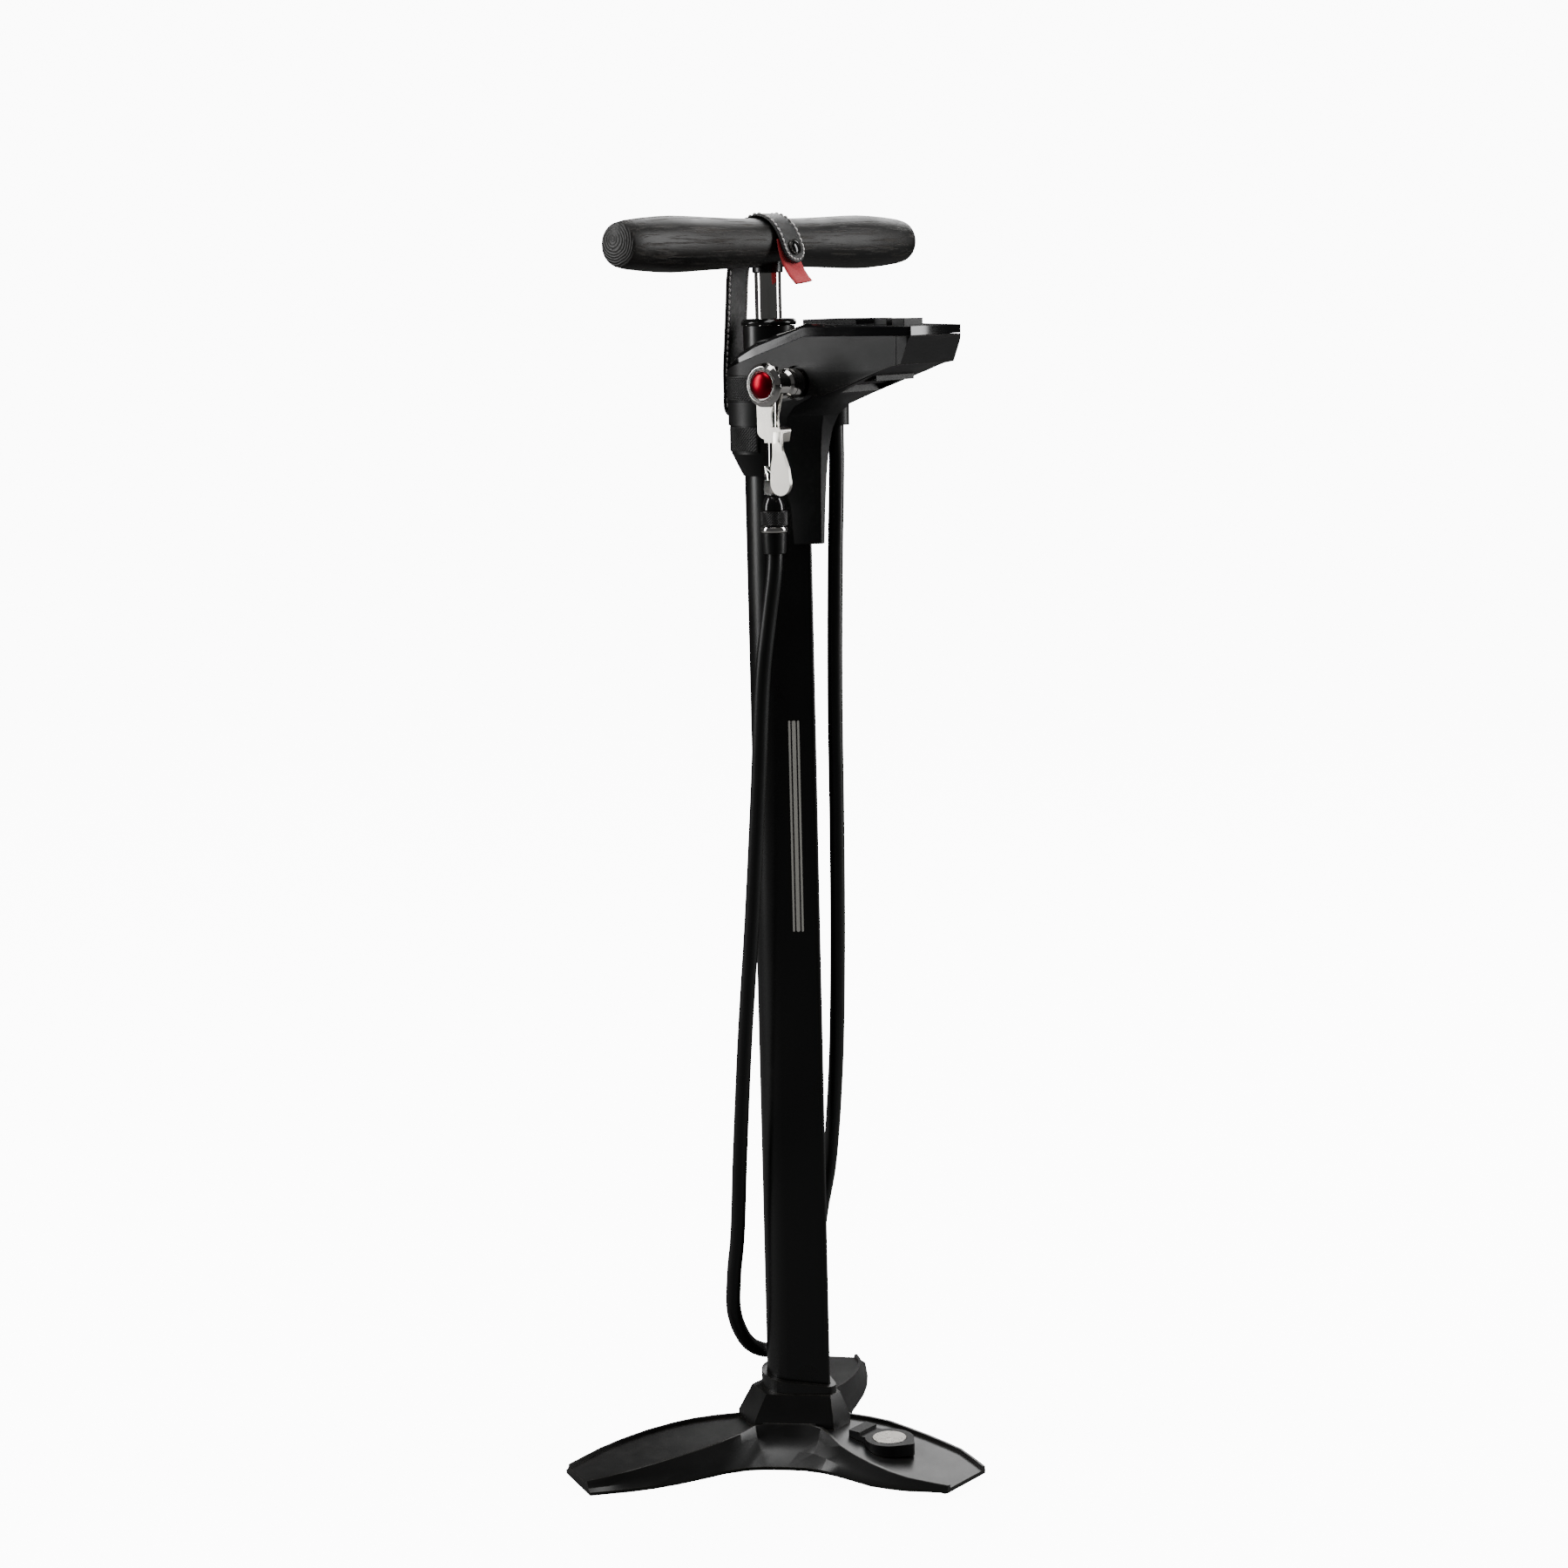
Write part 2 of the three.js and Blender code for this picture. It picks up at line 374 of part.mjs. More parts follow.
put('knurl_ring', stemAt(cyl(7.5, 568, 576.7, 40)), mats.plastic);
put('flange_ring', stemAt(turned([[0, 564.6], [7.4, 564.6], [7.8, 565.6], [7.8, 566.4], [7.2, 567.7], [0, 567.7]], 40)), mats.chrome);
put('hose_ferrule', stemAt(turned([[0, 564.3], [7, 564.3], [6.9, 561], [6.3, 552.5], [hose.r + gap, 552.5], [hose.r + gap, 560], [0, 560]], 36)),
  mats.plastic);

// lever: two cheeks on the drum axis, a cross link beside the stem and a rounded paddle
const lever = { cheek: 1.5, bar: 4.9, barX: chuck.x - 1.9, foot: 617, linkZ: [615, 623.6], linkX: 48.4, paddle: 2.2,
  paddleY: chuck.stemY - 7.5 };
const roundY = (r, x, z, y0, thick) => cyl(r, 0, thick, 32).rotate([90, 0, 0]).translate([x, y0 + thick, z]);
const cheekFrontY = chuck.frontY + 1;
const cheekBackY = chuck.stemY + 2.75 + slideGap;
const cheek = (y0, half) => hullOf([
  roundY(half + 2.6, chuck.x, chuck.z, y0, lever.cheek), roundY(half, lever.barX, lever.foot + half + 9, y0, lever.cheek),
]).add(hullOf([
  roundY(half, lever.barX, lever.foot + half + 9, y0, lever.cheek), roundY(half, lever.barX, lever.foot + half, y0, lever.cheek),
]));
const linkBlock = (x0) => hullOf([box(x0, x0 + 2, cheekFrontY, cheekBackY + lever.cheek, ...lever.linkZ),
  roundY(2.2, lever.linkX - 2.2, lever.linkZ[1] - 2.2, cheekFrontY, cheekBackY + lever.cheek - cheekFrontY),
  roundY(1.4, lever.linkX - 2.4, lever.linkZ[0] + 1.4, cheekFrontY, cheekBackY + lever.cheek - cheekFrontY)]);
const blade = (r, x, z) => roundY(r, x, z, lever.paddleY, lever.paddle);
put('chuck_lever', sum([
  cheek(cheekFrontY, lever.bar), cheek(cheekBackY, 3.6),
  linkBlock(lever.barX).subtract(box(0, chuck.x + 2.75 + slideGap + 0.4, cheekFrontY + lever.cheek, cheekBackY, 600, 640)),
  hullOf([box(44.6, lever.linkX - 0.4, lever.paddleY + 1, cheekFrontY + 2, 616, 621), blade(3, 47.6, 613)]),
  hullOf([blade(3, 47.6, 613), blade(3.4, 48, 609)]),
  hullOf([blade(3.4, 48, 609), blade(6.2, 49, 599.6), blade(6.9, 49.4, 592.6)]),
]).subtract(cyl(6.8 + slideGap, -100, 100, 40).rotate([90, 0, 0]).translate([chuck.x, 0, chuck.z])), mats.steel);

// hose: down the side, round behind the foot of the barrel and up to the chuck
const hoseStops = [
  [hose.endX, hose.endY, hose.endZ - 0.6], [35.5, 15.5, 614.5], [35.5, 15.5, 602], [33.5, 14.5, 535.5],
  [31.5, 14.5, 460.5], [29, 17, 385], [25, 20.5, 310], [16, 28, 236], [-4, 45, 166], [-17, 53, 133.5],
  [-22.5, 54.5, 108], [-24.5, 52.5, 82.5], [-24.5, 39.5, 60.5], [-25.5, 15.5, 52], [-27, -8, 61.5],
  [-27.5, -21.5, 83.5], [-25, -24.5, 109], [-21.5, -24.5, 134.5], [-13.5, -29.5, 190], [-2.5, -35.5, 263.5],
  [8.5, -39.5, 337.5], [19.5, -45, 411], [28.5, -48.5, 485], [34, -48, 520], [37.5, -48, 539.5],
  [38.5, -47.8, 550.5], [chuck.x, chuck.stemY, 559.4],
];
const curve = new THREE.CatmullRomCurve3(hoseStops.map((p) => new THREE.Vector3(...p)), false, 'centripetal');
const circle = new THREE.Shape();
circle.absarc(0, 0, hose.r, 0, Math.PI * 2, false);
const hoseGeometry = new THREE.ExtrudeGeometry(circle, { steps: 72, curveSegments: 6, bevelEnabled: false, extrudePath: curve });
const hoseMesh = new THREE.Mesh(hoseGeometry, mats.rubber);
hoseMesh.name = 'hose';
group.add(hoseMesh);

// rest on the floor, centred on the solid parts
const bounds = new THREE.Box3();
group.children.filter((m) => m.name !== 'hose').forEach((m) => bounds.expandByObject(m));
const shift = [-(bounds.min.x + bounds.max.x) / 2, -(bounds.min.y + bounds.max.y) / 2, -bounds.min.z];
group.children.forEach((m) => m.geometry.translate(...shift));

export default group;
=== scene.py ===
# Floor pump with a digital gauge head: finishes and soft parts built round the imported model.
import json
import math
import bpy
import bmesh
from mathutils import Matrix, Vector


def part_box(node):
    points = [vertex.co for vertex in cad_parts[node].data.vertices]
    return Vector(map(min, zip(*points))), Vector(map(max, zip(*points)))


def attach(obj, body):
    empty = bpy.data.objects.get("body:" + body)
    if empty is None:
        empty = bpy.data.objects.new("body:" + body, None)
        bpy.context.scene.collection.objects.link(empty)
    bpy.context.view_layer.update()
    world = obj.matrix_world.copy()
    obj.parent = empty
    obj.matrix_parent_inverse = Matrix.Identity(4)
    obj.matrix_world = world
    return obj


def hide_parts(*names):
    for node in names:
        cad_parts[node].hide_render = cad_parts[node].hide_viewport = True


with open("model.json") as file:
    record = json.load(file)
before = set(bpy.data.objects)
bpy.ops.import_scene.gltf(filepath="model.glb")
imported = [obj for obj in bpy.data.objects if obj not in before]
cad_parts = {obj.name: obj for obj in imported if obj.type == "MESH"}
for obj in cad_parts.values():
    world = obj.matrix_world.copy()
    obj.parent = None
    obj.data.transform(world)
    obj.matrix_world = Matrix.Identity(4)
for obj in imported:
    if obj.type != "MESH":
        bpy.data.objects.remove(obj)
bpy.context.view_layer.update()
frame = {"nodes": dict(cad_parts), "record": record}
nodes = frame["nodes"]
mm = 0.001

rodLow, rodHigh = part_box("piston_rod")
boreX = (rodLow.x + rodHigh.x) / 2
boreY = (rodLow.y + rodHigh.y) / 2


def place(x, y, z):
    # millimetres from the bore axis on the floor, to metres in the model's frame
    return Vector((boreX + x * mm, boreY + y * mm, z * mm))


camera = {
    "lens": 72.0, "sensor": 36.0, "distance": 1831.5, "height": 709.6, "azimuth": 38.5,
    "pitch": 9.28, "roll": 1.35, "yaw": 0.08,
}


def makeCamera(values):
    pitch, roll, yaw = (math.radians(values[key]) for key in ("pitch", "roll", "yaw"))
    forward = Vector((math.sin(yaw) * math.cos(pitch), math.cos(yaw) * math.cos(pitch), -math.sin(pitch)))
    right = Vector((math.cos(yaw), -math.sin(yaw), 0))
    down = forward.cross(right)
    turn = Matrix.Rotation(math.radians(values["azimuth"]), 3, "Z")
    across = turn @ (right * math.cos(roll) + down * math.sin(roll))
    below = turn @ (down * math.cos(roll) - right * math.sin(roll))
    ahead = turn @ forward
    data = bpy.data.cameras.new("camera")
    data.lens = values["lens"]
    data.sensor_width = values["sensor"]
    data.clip_start = 0.05
    data.clip_end = 50
    made = bpy.data.objects.new("camera", data)
    bpy.context.scene.collection.objects.link(made)
    spot = turn @ Vector((0, -values["distance"] * mm, values["height"] * mm)) + Vector((boreX, boreY, 0))
    basis = Matrix((across, -below, -ahead)).transposed().to_4x4()
    made.matrix_world = Matrix.Translation(spot) @ basis
    bpy.context.scene.camera = made


makeCamera(camera)
print("camera placed")


hose = {
    "diameter": 9.0, "samples": 10,
    "stops": [
        (35.5, 15.5, 625.4), (35.5, 15.5, 614.5), (35.5, 15.5, 602), (33.5, 14.5, 535.5), (31.5, 14.5, 460.5),
        (29, 17, 385), (25, 20.5, 310), (16, 28, 236), (-4, 45, 166), (-17, 53, 133.5), (-22.5, 54.5, 108),
        (-24.5, 52.5, 82.5), (-24.5, 39.5, 60.5), (-25.5, 15.5, 52), (-27, -8, 61.5), (-27.5, -21.5, 83.5),
        (-25, -24.5, 109), (-21.5, -24.5, 134.5), (-13.5, -29.5, 190), (-2.5, -35.5, 263.5),
        (8.5, -39.5, 337.5), (19.5, -45, 411), (28.5, -48.5, 485), (34, -48, 520), (37.5, -48, 539.5),
        (38.5, -47.8, 550.5), (38.5, -47.8, 559.4),
    ],
}


def smoothRoute(points, samples):
    # centripetal curve through the stops, as the solid hose has
    points = [Vector(p) for p in points]
    ends = [2 * points[0] - points[1]] + points + [2 * points[-1] - points[-2]]
    line = []
    for i in range(1, len(ends) - 2):
        p0, p1, p2, p3 = ends[i - 1:i + 3]
        t0, t1, t2 = ((b - a).length ** 0.5 for a, b in ((p0, p1), (p1, p2), (p2, p3)))
        m1 = ((p1 - p0) / t0 - (p2 - p0) / (t0 + t1) + (p2 - p1) / t1) * t1
        m2 = ((p2 - p1) / t1 - (p3 - p1) / (t1 + t2) + (p3 - p2) / t2) * t1
        for k in range(samples):
            u = k / samples
            line.append((2 * u ** 3 - 3 * u ** 2 + 1) * p1 + (u ** 3 - 2 * u ** 2 + u) * m1
                        + (3 * u ** 2 - 2 * u ** 3) * p2 + (u ** 3 - u ** 2) * m2)
    return line + [points[-1]]


def makeHose(values):
    line = [place(*p) for p in smoothRoute(values["stops"], values["samples"])]
    data = bpy.data.curves.new("hoseRun", "CURVE")
    data.dimensions = "3D"
    # one metre scaled by each point's radius, which is also what the curve's box grows by
    data.bevel_depth = 1.0
    data.bevel_resolution = 8
    data.use_fill_caps = True
    spline = data.splines.new("POLY")
    spline.points.add(len(line) - 1)
    for point, spot in zip(spline.points, line):
        point.co = (*spot, 1)
        point.radius = values["diameter"] / 2 * mm
    made = bpy.data.objects.new("hoseRun", data)
    bpy.context.scene.collection.objects.link(made)
    length = sum((b - a).length for a, b in zip(line, line[1:]))
    return made, line, length


hoseRun, hoseLine, hoseLength = makeHose(hose)
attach(hoseRun, "stand")
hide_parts("hose")
print("hose", round(hoseLength, 3))


def addNode(tree, kind, feeds=None, **settings):
    node = tree.nodes.new(kind)
    for key, value in settings.items():
        setattr(node, key, value)
    for key, value in (feeds or {}).items():
        if isinstance(value, bpy.types.NodeSocket):
            tree.links.new(value, node.inputs[key])
        else:
            node.inputs[key].default_value = value
    return node


def maths(tree, operation, a, b=0.0, clamp=False):
    return addNode(tree, "ShaderNodeMath", {0: a, 1: b}, operation=operation, use_clamp=clamp).outputs[0]


def vectorMaths(tree, operation, a, b=(0.0, 0.0, 0.0)):
    return addNode(tree, "ShaderNodeVectorMath", {0: a, 1: b}, operation=operation).outputs


def objectSpot(tree):
    return addNode(tree, "ShaderNodeTexCoord").outputs["Object"]


def cloudy(tree, spot, scale, detail, **more):
    feeds = {"Vector": spot, "Scale": scale, "Detail": detail, **more}
    return addNode(tree, "ShaderNodeTexNoise", feeds).outputs[0]


def ramp(tree, value, low, high):
    # nought at low, one at high
    return addNode(tree, "ShaderNodeMapRange", {"Value": value, "From Min": low, "From Max": high}).outputs[0]


def newGroup(name, takes, gives):
    group = bpy.data.node_groups.new(name, "ShaderNodeTree")
    for label, kind, value in takes:
        socket = group.interface.new_socket(name=label, in_out="INPUT", socket_type=kind)
        socket.default_value = value
    for label, kind in gives:
        group.interface.new_socket(name=label, in_out="OUTPUT", socket_type=kind)
    inside = group.nodes.new("NodeGroupInput")
    outside = group.nodes.new("NodeGroupOutput")
    return group, inside.outputs, outside.inputs


floatKind = "NodeSocketFloat"


def makeGrainGroup():
    # fine random grain of a moulding or a powder coat
    group, take, give = newGroup("fineGrain", [("Scale", floatKind, 900.0), ("Soft", floatKind, 0.5)],
                                 [("Height", floatKind), ("Spots", floatKind)])
    spot = objectSpot(group)
    fine = cloudy(group, spot, take["Scale"], 3.0, Roughness=take["Soft"])
    broad = cloudy(group, spot, 60.0, 4.0)
    group.links.new(fine, give["Height"])
    group.links.new(broad, give["Spots"])
    return group


def makeSmudgeGroup():
    # slow changes of gloss from handling
    group, take, give = newGroup("handling", [("Low", floatKind, 0.3), ("High", floatKind, 0.5),
                                              ("Scale", floatKind, 28.0)], [("Roughness", floatKind)])
    spot = objectSpot(group)
    cloud = cloudy(group, spot, take["Scale"], 5.0, Roughness=0.6)
    spread = addNode(group, "ShaderNodeMapRange", {"Value": cloud, "From Min": 0.3, "From Max": 0.7,
                                                   "To Min": take["Low"], "To Max": take["High"]}).outputs[0]
    group.links.new(spread, give["Roughness"])
    return group


def makeRubGroup():
    # paler rubbed edges, broken up by noise
    group, take, give = newGroup("edgeRub", [("Radius", floatKind, 0.0008), ("Amount", floatKind, 0.5)],
                                 [("Mask", floatKind)])
    around = addNode(group, "ShaderNodeBevel", {"Radius": take["Radius"]}, samples=4).outputs[0]
    own = addNode(group, "ShaderNodeNewGeometry").outputs["Normal"]
    dot = vectorMaths(group, "DOT_PRODUCT", around, own)["Value"]
    edge = ramp(group, dot, 0.99, 0.86)
    spot = objectSpot(group)
    patch = cloudy(group, spot, 140.0, 3.0)
    broken = ramp(group, patch, 0.4, 0.6)
    mask = maths(group, "MULTIPLY", maths(group, "MULTIPLY", edge, broken), take["Amount"], True)
    group.links.new(mask, give["Mask"])
    return group


def makeDustGroup():
    # thin patchy dust on faces that look up
    group, take, give = newGroup("settledDust", [("Amount", floatKind, 0.05), ("Scale", floatKind, 90.0)],
                                 [("Mask", floatKind)])
    facing = addNode(group, "ShaderNodeNewGeometry").outputs["Normal"]
    upward = addNode(group, "ShaderNodeSeparateXYZ", {0: facing}).outputs[2]
    top = ramp(group, upward, 0.3, 1.0)
    spot = objectSpot(group)
    patch = cloudy(group, spot, take["Scale"], 6.0)
    specks = ramp(group, patch, 0.45, 0.72)
    mask = maths(group, "MULTIPLY", maths(group, "MULTIPLY", top, specks), take["Amount"], True)
    group.links.new(mask, give["Mask"])
    return group


fineGrain = makeGrainGroup()
settledDust = makeDustGroup()
handling = makeSmudgeGroup()
edgeRub = makeRubGroup()


def groupNode(tree, group, feeds=None):
    node = tree.nodes.new("ShaderNodeGroup")
    node.node_tree = group
    for key, value in (feeds or {}).items():
        node.inputs[key].default_value = value
    return node


def newMaterial(name, **constants):
    material = bpy.data.materials.new(name)
    material.use_nodes = True
    tree = material.node_tree
    shader = tree.nodes["Principled BSDF"]
    for key, value in constants.items():
        shader.inputs[key.replace("_", " ")].default_value = value
    return material, tree, shader


def mixColor(tree, factor, first, second):
    node = tree.nodes.new("ShaderNodeMix")
    node.data_type = "RGBA"
    for key, value in ((0, factor), (6, first), (7, second)):
        if isinstance(value, bpy.types.NodeSocket):
            tree.links.new(value, node.inputs[key])
        else:
            node.inputs[key].default_value = value
    return node.outputs[2]


def addBump(tree, shader, height, strength, distance):
    bump = addNode(tree, "ShaderNodeBump", {"Height": height, "Strength": strength, "Distance": distance})
    tree.links.new(bump.outputs[0], shader.inputs["Normal"])


dustTone = (0.16, 0.15, 0.14, 1)


def addGloss(tree, shader, rough, scale=28.0):
    # rough: least and greatest roughness
    gloss = groupNode(tree, handling, {"Low": rough[0], "High": rough[1], "Scale": scale})
    tree.links.new(gloss.outputs[0], shader.inputs["Roughness"])


def plasticLike(name, tone, rough, grain, bumpSize, rub, shine=0.5):
    # tone: base and rubbed colour
    material, tree, shader = newMaterial(name)
    shader.inputs["Specular IOR Level"].default_value = shine
    texture = groupNode(tree, fineGrain, {"Scale": grain})
    wear = groupNode(tree, edgeRub, {"Amount": rub})
    settled = groupNode(tree, settledDust, {"Amount": 0.05})
    base = mixColor(tree, texture.outputs["Spots"], (*tone[0], 1), (*[c * 1.3 for c in tone[0]], 1))
    worn = mixColor(tree, wear.outputs["Mask"], base, (*tone[1], 1))
    tree.links.new(mixColor(tree, settled.outputs["Mask"], worn, dustTone), shader.inputs["Base Color"])
    addGloss(tree, shader, rough)
    addBump(tree, shader, texture.outputs["Height"], 0.35, bumpSize)
    return material


def metalLike(name, color, rough, bumpSize=0.00002):
    material, tree, shader = newMaterial(name, Metallic=1.0)
    shade = groupNode(tree, fineGrain, {"Scale": 260.0})
    tree.links.new(mixColor(tree, shade.outputs["Spots"], (*color, 1), (*[c * 0.86 for c in color], 1)),
                   shader.inputs["Base Color"])
    addGloss(tree, shader, rough, 45.0)
    addBump(tree, shader, shade.outputs["Height"], 0.2, bumpSize)
    return material


def turnedMetal(name, color, rough, centre, pitch, depth):
    # face cut on a lathe: fine rings round the centre
    material, tree, shader = newMaterial(name, Metallic=1.0)
    spot = objectSpot(tree)
    moved = vectorMaths(tree, "SUBTRACT", spot, tuple(centre))[0]
    reach = vectorMaths(tree, "LENGTH", moved)["Value"]
    wave = maths(tree, "SINE", maths(tree, "MULTIPLY", reach, 2 * math.pi / pitch))
    grit = groupNode(tree, fineGrain, {"Scale": 900.0})
    ringed = maths(tree, "ADD", maths(tree, "MULTIPLY", wave, 0.5), grit.outputs["Height"])
    tree.links.new(mixColor(tree, grit.outputs["Spots"], (*color, 1), (*[c * 0.8 for c in color], 1)),
                   shader.inputs["Base Color"])
    addGloss(tree, shader, rough, 90.0)
    addBump(tree, shader, ringed, 0.4, depth)
    return material


woodGrain = {
    "streak": 620.0, "stretch": 0.035, "dark": (0.0014, 0.0013, 0.0012), "pale": (0.03, 0.025, 0.02),
    "sawnDark": (0.004, 0.0038, 0.0035), "sawnPale": (0.045, 0.041, 0.037), "poreDepth": 0.00022,
    "ringCentre": (-3, 0, 729), "ringPitch": 0.0017, "ringWander": 0.006,
}


def stainedAsh(values):
    # open pores drawn out along the bar, growth rings on the sawn ends
    material, tree, shader = newMaterial("stainedAsh")
    shader.inputs["Specular IOR Level"].default_value = 0.3
    spot = objectSpot(tree)
    drawn = vectorMaths(tree, "MULTIPLY", spot, (1.0, values["stretch"], 1.0))[0]
    broad = cloudy(tree, drawn, values["streak"] * 0.16, 4.0, Distortion=0.6)
    pores = cloudy(tree, drawn, values["streak"], 3.0, Roughness=0.65)
    pits = ramp(tree, pores, 0.55, 0.63)
    bands = ramp(tree, broad, 0.42, 0.6)
    drift = cloudy(tree, spot, 55.0, 2.0)
    centre = place(*values["ringCentre"])
    offset = vectorMaths(tree, "SUBTRACT", spot, tuple(centre))[0]
    flat = vectorMaths(tree, "MULTIPLY", offset, (1.0, 0.0, 1.0))[0]
    reach = vectorMaths(tree, "LENGTH", flat)["Value"]
    bent = maths(tree, "ADD", reach, maths(tree, "MULTIPLY", drift, values["ringWander"]))
    rings = maths(tree, "SINE", maths(tree, "MULTIPLY", bent, 2 * math.pi / values["ringPitch"]))
    normal = addNode(tree, "ShaderNodeTexCoord").outputs["Normal"]
    parts = addNode(tree, "ShaderNodeSeparateXYZ", {0: normal})
    ends = ramp(tree, maths(tree, "ABSOLUTE", parts.outputs[1]), 0.8, 0.95)
    streaks = maths(tree, "ADD", maths(tree, "MULTIPLY", bands, 0.25), maths(tree, "MULTIPLY", pits, 0.7))
    side = mixColor(tree, streaks, (*values["dark"], 1), (*values["pale"], 1))
    sawn = mixColor(tree, maths(tree, "MULTIPLY", rings, 0.5, True), (*values["sawnDark"], 1),
                    (*values["sawnPale"], 1))
    tree.links.new(mixColor(tree, ends, side, sawn), shader.inputs["Base Color"])
    gloss = groupNode(tree, handling, {"Low": 0.36, "High": 0.5, "Scale": 30.0})
    tree.links.new(maths(tree, "ADD", gloss.outputs[0], maths(tree, "MULTIPLY", pits, 0.16)),
                   shader.inputs["Roughness"])
    poreHeight = addNode(tree, "ShaderNodeCombineColor", {0: maths(tree, "SUBTRACT", 1.0, pits)}).outputs[0]
    ringHeight = addNode(tree, "ShaderNodeCombineColor", {0: maths(tree, "MULTIPLY", rings, 0.6)}).outputs[0]
    lift = mixColor(tree, ends, poreHeight, ringHeight)
    height = addNode(tree, "ShaderNodeSeparateColor", {0: lift}).outputs[0]
    addBump(tree, shader, height, 0.5, values["poreDepth"])
    return material


def blackLeather():
    # pebbled hide with painted shade: the creases between the pebbles take a darker colour
    material, tree, shader = newMaterial("blackLeather")
    spot = objectSpot(tree)
    cells = addNode(tree, "ShaderNodeTexVoronoi", {"Vector": spot, "Scale": 1300.0, "Randomness": 1.0},
                    feature="DISTANCE_TO_EDGE").outputs["Distance"]
    creaseShadeAndHeight = ramp(tree, cells, 0.0, 0.18)
    texture = groupNode(tree, fineGrain, {"Scale": 700.0})
    wear = groupNode(tree, edgeRub, {"Radius": 0.0006, "Amount": 0.5})
    # painted shade: crease lines get the darker colour, pebble tops the lighter
    base = mixColor(tree, creaseShadeAndHeight, (0.004, 0.004, 0.004, 1), (0.013, 0.012, 0.0115, 1))
    tree.links.new(mixColor(tree, wear.outputs["Mask"], base, (0.05, 0.046, 0.042, 1)),
                   shader.inputs["Base Color"])
    addGloss(tree, shader, (0.4, 0.58), 70.0)
    # the same crease mask also sets the bump height
    height = maths(tree, "ADD", creaseShadeAndHeight, maths(tree, "MULTIPLY", texture.outputs["Height"], 0.6))
    addBump(tree, shader, height, 0.5, 0.00012)
    return material


def wovenBand(name, grooveShadeTone, ridgeLitTone, scale):
    # threads crossing at right angles to the band's ribs, with painted shade: darker colour in the grooves,
    # lighter on the ridges
    material, tree, shader = newMaterial(name)
    shader.inputs["Sheen Weight"].default_value = 0.35
    shader.inputs["Sheen Roughness"].default_value = 0.5
    spot = objectSpot(tree)
    threads = addNode(tree, "ShaderNodeTexWave", {"Vector": spot, "Scale": scale, "Distortion": 0.4,
                                                  "Detail": 1.0}, bands_direction="Y").outputs[1]
    fuzz = groupNode(tree, fineGrain, {"Scale": 1800.0})
    weaveShadeAndHeight = maths(tree, "ADD", maths(tree, "MULTIPLY", threads, 0.5),
                  maths(tree, "MULTIPLY", fuzz.outputs["Height"], 0.5))
    # painted shade: the thread wave and random fuzz pick between the darker groove tone and the lighter ridge
    # tone
    tree.links.new(mixColor(tree, weaveShadeAndHeight, (*grooveShadeTone, 1), (*ridgeLitTone, 1)), shader.inputs["Base Color"])
    addGloss(tree, shader, (0.68, 0.85), 60.0)
    addBump(tree, shader, weaveShadeAndHeight, 0.6, 0.00014)
    return material


def smokedGlass():
    # tinted window over the display
    material, tree, shader = newMaterial("smokedWindow")
    shader.inputs["Transmission Weight"].default_value = 1.0
    shader.inputs["IOR"].default_value = 1.46
    shade = groupNode(tree, fineGrain, {"Scale": 300.0})
    tree.links.new(mixColor(tree, shade.outputs["Spots"], (0.55, 0.56, 0.56, 1), (0.62, 0.63, 0.63, 1)),
                   shader.inputs["Base Color"])
    addGloss(tree, shader, (0.02, 0.06), 80.0)
    return material


magnetLow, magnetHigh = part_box("dock_magnet")
blackTone = ((0.0021, 0.002, 0.002), (0.034, 0.033, 0.031))
finishes = {
    "casting": plasticLike("satinCasting", ((0.004, 0.0038, 0.0036), (0.07, 0.065, 0.055)), (0.3, 0.4),
                           1500.0, 0.00006, 0.5, 0.5),
    "barrel": plasticLike("anodisedBarrel", ((0.003, 0.0029, 0.0028), (0.04, 0.038, 0.035)), (0.26, 0.34),
                          2300.0, 0.00003, 0.3, 0.45),
    "head_plastic": plasticLike("mattePlastic", blackTone, (0.36, 0.48), 1700.0, 0.00007, 0.3, 0.34),
    "smoked_cover": plasticLike("glossyCover", ((0.003, 0.003, 0.0034), (0.012, 0.012, 0.012)), (0.07, 0.14),
                                500.0, 0.00001, 0.1),
    "lcd": plasticLike("displayPanel", ((0.16, 0.18, 0.15), (0.18, 0.2, 0.17)), (0.25, 0.35),
                       500.0, 0.00001, 0.0),
    "board": plasticLike("circuitBoard", ((0.01, 0.06, 0.02), (0.1, 0.1, 0.02)), (0.3, 0.4),
                         500.0, 0.00001, 0.0),
    "rubber": plasticLike("footRubber", ((0.01, 0.01, 0.01), (0.03, 0.03, 0.03)), (0.6, 0.75),
                          1200.0, 0.00008, 0.3),
    "hose_rubber": plasticLike("hoseRubber", ((0.0035, 0.0034, 0.0033), (0.02, 0.02, 0.02)), (0.32, 0.42),
                               1600.0, 0.00006, 0.0, 0.45),
    "chrome": metalLike("chromePlate", (0.82, 0.8, 0.77), (0.035, 0.085)),
    "polished_steel": metalLike("polishedSteel", (0.56, 0.54, 0.5), (0.17, 0.3), 0.00008),
    "red_anodised": metalLike("redAnodised", (0.26, 0.003, 0.014), (0.26, 0.36)),
    "magnet": turnedMetal("turnedNickel", (0.6, 0.57, 0.53), (0.2, 0.34), (magnetLow + magnetHigh) / 2,
                          0.0009, 0.00003),
    "gloss_ring": plasticLike("glossRing", ((0.004, 0.004, 0.004), (0.02, 0.02, 0.02)), (0.1, 0.16),
                              800.0, 0.00001, 0.1),
    "ash": stainedAsh(woodGrain),
    "leather": blackLeather(),
    # the webbing's two reds are a painted-shade groove tone and a lit ridge tone
    "webbing": wovenBand("redWebbing", (0.3, 0.006, 0.012), (0.82, 0.03, 0.045), 420.0),
}
